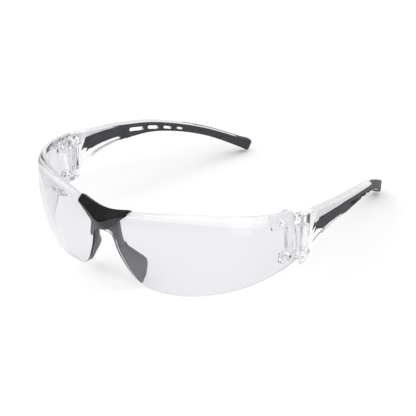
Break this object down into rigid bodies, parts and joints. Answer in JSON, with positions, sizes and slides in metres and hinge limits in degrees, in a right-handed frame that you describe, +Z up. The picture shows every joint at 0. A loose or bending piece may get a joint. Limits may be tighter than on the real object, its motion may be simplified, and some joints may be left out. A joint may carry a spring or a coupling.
{
  "type": "safety glasses",
  "caption": "Clear wraparound safety glasses: a one-piece lens with a dark bridge cap, a soft nosepiece, and folding temples with rubber grips.",
  "frame": {"origin": "on the table that the open glasses rest on, under the middle of their box", "axes": "+X towards the wearer's left, +Y back along the temples so that the lens faces -Y, +Z up"},
  "size_m": [0.1378, 0.1704, 0.0422],
  "materials": {
    "clear_lens": "clear polished polycarbonate",
    "clear_plastic": "clear moulded polycarbonate",
    "gloss_black": "polished black",
    "nose_frame": "satin grey",
    "nose_rubber": "soft matte grey",
    "grip_rubber": "matte dark grey"
  },
  "bodies": {
    "front": {"lens": "clear_lens", "bridge_cap": "gloss_black", "nose_carrier": "nose_frame", "nose_pad_left": "nose_rubber", "nose_pad_right": "nose_rubber", "hinge_bracket_left": "clear_plastic", "hinge_bracket_right": "clear_plastic", "rivet_upper_left": "clear_plastic", "rivet_upper_right": "clear_plastic", "rivet_lower_left": "clear_plastic", "rivet_lower_right": "clear_plastic", "hinge_pin_left": "clear_plastic", "hinge_pin_right": "clear_plastic"},
    "temple_left": {"temple_core_left": "clear_plastic", "inner_grip_left": "grip_rubber", "outer_grip_left": "grip_rubber", "tip_sleeve_left": "grip_rubber"},
    "temple_right": {"temple_core_right": "clear_plastic", "inner_grip_right": "grip_rubber", "outer_grip_right": "grip_rubber", "tip_sleeve_right": "grip_rubber"}
  },
  "joints": [
    {"name": "left_temple_fold", "type": "hinge", "parent": "front", "child": "temple_left", "pos_m": [0.0652, -0.02687, 0.0242], "axis": [0, 0, 1], "range_deg": [0, 93]},
    {"name": "right_temple_fold", "type": "hinge", "parent": "front", "child": "temple_right", "pos_m": [-0.0652, -0.02687, 0.0242], "axis": [0, 0, -1], "range_deg": [0, 82]}
  ]
}
